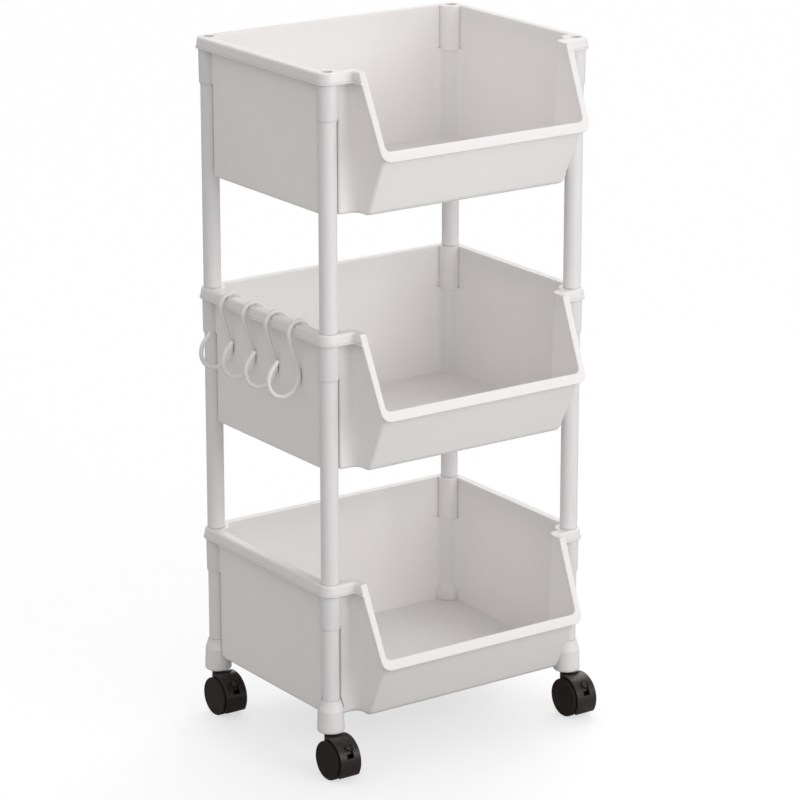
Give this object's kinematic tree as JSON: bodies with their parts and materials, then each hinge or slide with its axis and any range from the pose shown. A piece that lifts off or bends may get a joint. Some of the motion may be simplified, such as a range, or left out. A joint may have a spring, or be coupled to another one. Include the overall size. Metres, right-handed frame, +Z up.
{
  "type": "rolling storage cart",
  "caption": "Tiered rolling storage cart: open bins with scooped fronts on round corner posts, hooded swivel casters with brake tabs, and S-hooks on a side rim.",
  "frame": {"origin": "on the floor under the middle of the cart's bounding box, hooks and lips included", "axes": "+Z up, +X to the right seen from the open front, +Y to the back"},
  "size_m": [0.3947, 0.3157, 0.7965],
  "materials": {
    "bin_plastic": "satin",
    "post_plastic": "satin",
    "caster_plastic": "satin",
    "wheel_plastic": "satin",
    "hook_wire": "satin",
    "steel": "brushed"
  },
  "bodies": {
    "frame": {"upper_bin": "bin_plastic", "middle_bin": "bin_plastic", "lower_bin": "bin_plastic", "upper_post_fl": "post_plastic", "upper_post_fr": "post_plastic", "upper_post_bl": "post_plastic", "upper_post_br": "post_plastic", "lower_post_fl": "post_plastic", "lower_post_fr": "post_plastic", "lower_post_bl": "post_plastic", "lower_post_br": "post_plastic", "leg_tube_fl": "post_plastic", "leg_tube_fr": "post_plastic", "leg_tube_bl": "post_plastic", "leg_tube_br": "post_plastic", "foot_fl": "post_plastic", "foot_fr": "post_plastic", "foot_bl": "post_plastic", "foot_br": "post_plastic", "caster_stem_fl": "steel", "caster_stem_fr": "steel", "caster_stem_bl": "steel", "caster_stem_br": "steel"},
    "caster_fl": {"caster_body_fl": "caster_plastic", "caster_axle_fl": "steel"},
    "wheel_left_fl": {"wheel_left_fl": "wheel_plastic"},
    "wheel_right_fl": {"wheel_right_fl": "wheel_plastic"},
    "brake_tab_fl": {"brake_tab_fl": "caster_plastic"},
    "caster_fr": {"caster_body_fr": "caster_plastic", "caster_axle_fr": "steel"},
    "wheel_left_fr": {"wheel_left_fr": "wheel_plastic"},
    "wheel_right_fr": {"wheel_right_fr": "wheel_plastic"},
    "brake_tab_fr": {"brake_tab_fr": "caster_plastic"},
    "caster_bl": {"caster_body_bl": "caster_plastic", "caster_axle_bl": "steel"},
    "wheel_left_bl": {"wheel_left_bl": "wheel_plastic"},
    "wheel_right_bl": {"wheel_right_bl": "wheel_plastic"},
    "brake_tab_bl": {"brake_tab_bl": "caster_plastic"},
    "caster_br": {"caster_body_br": "caster_plastic", "caster_axle_br": "steel"},
    "wheel_left_br": {"wheel_left_br": "wheel_plastic"},
    "wheel_right_br": {"wheel_right_br": "wheel_plastic"},
    "brake_tab_br": {"brake_tab_br": "caster_plastic"},
    "hook_1": {"hook_1": "hook_wire"},
    "hook_2": {"hook_2": "hook_wire"},
    "hook_3": {"hook_3": "hook_wire"},
    "hook_4": {"hook_4": "hook_wire"}
  },
  "joints": [
    {"name": "swivel_fl", "type": "hinge", "parent": "frame", "child": "caster_fl", "pos_m": [-0.148, -0.09158, 0.0505], "axis": [0, 0, 1], "continuous": true},
    {"name": "spin_left_fl", "type": "hinge", "parent": "caster_fl", "child": "wheel_left_fl", "pos_m": [-0.148, -0.10618, 0.0225], "axis": [1, 0, 0], "continuous": true},
    {"name": "spin_right_fl", "type": "hinge", "parent": "caster_fl", "child": "wheel_right_fl", "pos_m": [-0.148, -0.10618, 0.0225], "axis": [1, 0, 0], "continuous": true},
    {"name": "brake_fl", "type": "hinge", "parent": "caster_fl", "child": "brake_tab_fl", "pos_m": [-0.148, -0.10618, 0.0225], "axis": [1, 0, 0], "range_deg": [0, 18]},
    {"name": "swivel_fr", "type": "hinge", "parent": "frame", "child": "caster_fr", "pos_m": [0.182, -0.09158, 0.0505], "axis": [0, 0, 1], "continuous": true},
    {"name": "spin_left_fr", "type": "hinge", "parent": "caster_fr", "child": "wheel_left_fr", "pos_m": [0.182, -0.10618, 0.0225], "axis": [1, 0, 0], "continuous": true},
    {"name": "spin_right_fr", "type": "hinge", "parent": "caster_fr", "child": "wheel_right_fr", "pos_m": [0.182, -0.10618, 0.0225], "axis": [1, 0, 0], "continuous": true},
    {"name": "brake_fr", "type": "hinge", "parent": "caster_fr", "child": "brake_tab_fr", "pos_m": [0.182, -0.10618, 0.0225], "axis": [1, 0, 0], "range_deg": [0, 18]},
    {"name": "swivel_bl", "type": "hinge", "parent": "frame", "child": "caster_bl", "pos_m": [-0.148, 0.14342, 0.0505], "axis": [0, 0, 1], "continuous": true},
    {"name": "spin_left_bl", "type": "hinge", "parent": "caster_bl", "child": "wheel_left_bl", "pos_m": [-0.148, 0.12882, 0.0225], "axis": [1, 0, 0], "continuous": true},
    {"name": "spin_right_bl", "type": "hinge", "parent": "caster_bl", "child": "wheel_right_bl", "pos_m": [-0.148, 0.12882, 0.0225], "axis": [1, 0, 0], "continuous": true},
    {"name": "brake_bl", "type": "hinge", "parent": "caster_bl", "child": "brake_tab_bl", "pos_m": [-0.148, 0.12882, 0.0225], "axis": [1, 0, 0], "range_deg": [0, 18]},
    {"name": "swivel_br", "type": "hinge", "parent": "frame", "child": "caster_br", "pos_m": [0.182, 0.14342, 0.0505], "axis": [0, 0, 1], "continuous": true},
    {"name": "spin_left_br", "type": "hinge", "parent": "caster_br", "child": "wheel_left_br", "pos_m": [0.182, 0.12882, 0.0225], "axis": [1, 0, 0], "continuous": true},
    {"name": "spin_right_br", "type": "hinge", "parent": "caster_br", "child": "wheel_right_br", "pos_m": [0.182, 0.12882, 0.0225], "axis": [1, 0, 0], "continuous": true},
    {"name": "brake_br", "type": "hinge", "parent": "caster_br", "child": "brake_tab_br", "pos_m": [0.182, 0.12882, 0.0225], "axis": [1, 0, 0], "range_deg": [0, 18]},
    {"name": "swing_hook_1", "type": "hinge", "parent": "frame", "child": "hook_1", "pos_m": [-0.1536, 0.09492, 0.50034], "axis": [0, 1, 0], "range_deg": [0, 25]},
    {"name": "swing_hook_2", "type": "hinge", "parent": "frame", "child": "hook_2", "pos_m": [-0.1536, 0.04892, 0.50034], "axis": [0, 1, 0], "range_deg": [0, 25]},
    {"name": "swing_hook_3", "type": "hinge", "parent": "frame", "child": "hook_3", "pos_m": [-0.1536, 0.00292, 0.50034], "axis": [0, 1, 0], "range_deg": [0, 25]},
    {"name": "swing_hook_4", "type": "hinge", "parent": "frame", "child": "hook_4", "pos_m": [-0.1536, -0.04308, 0.50034], "axis": [0, 1, 0], "range_deg": [0, 25]}
  ]
}
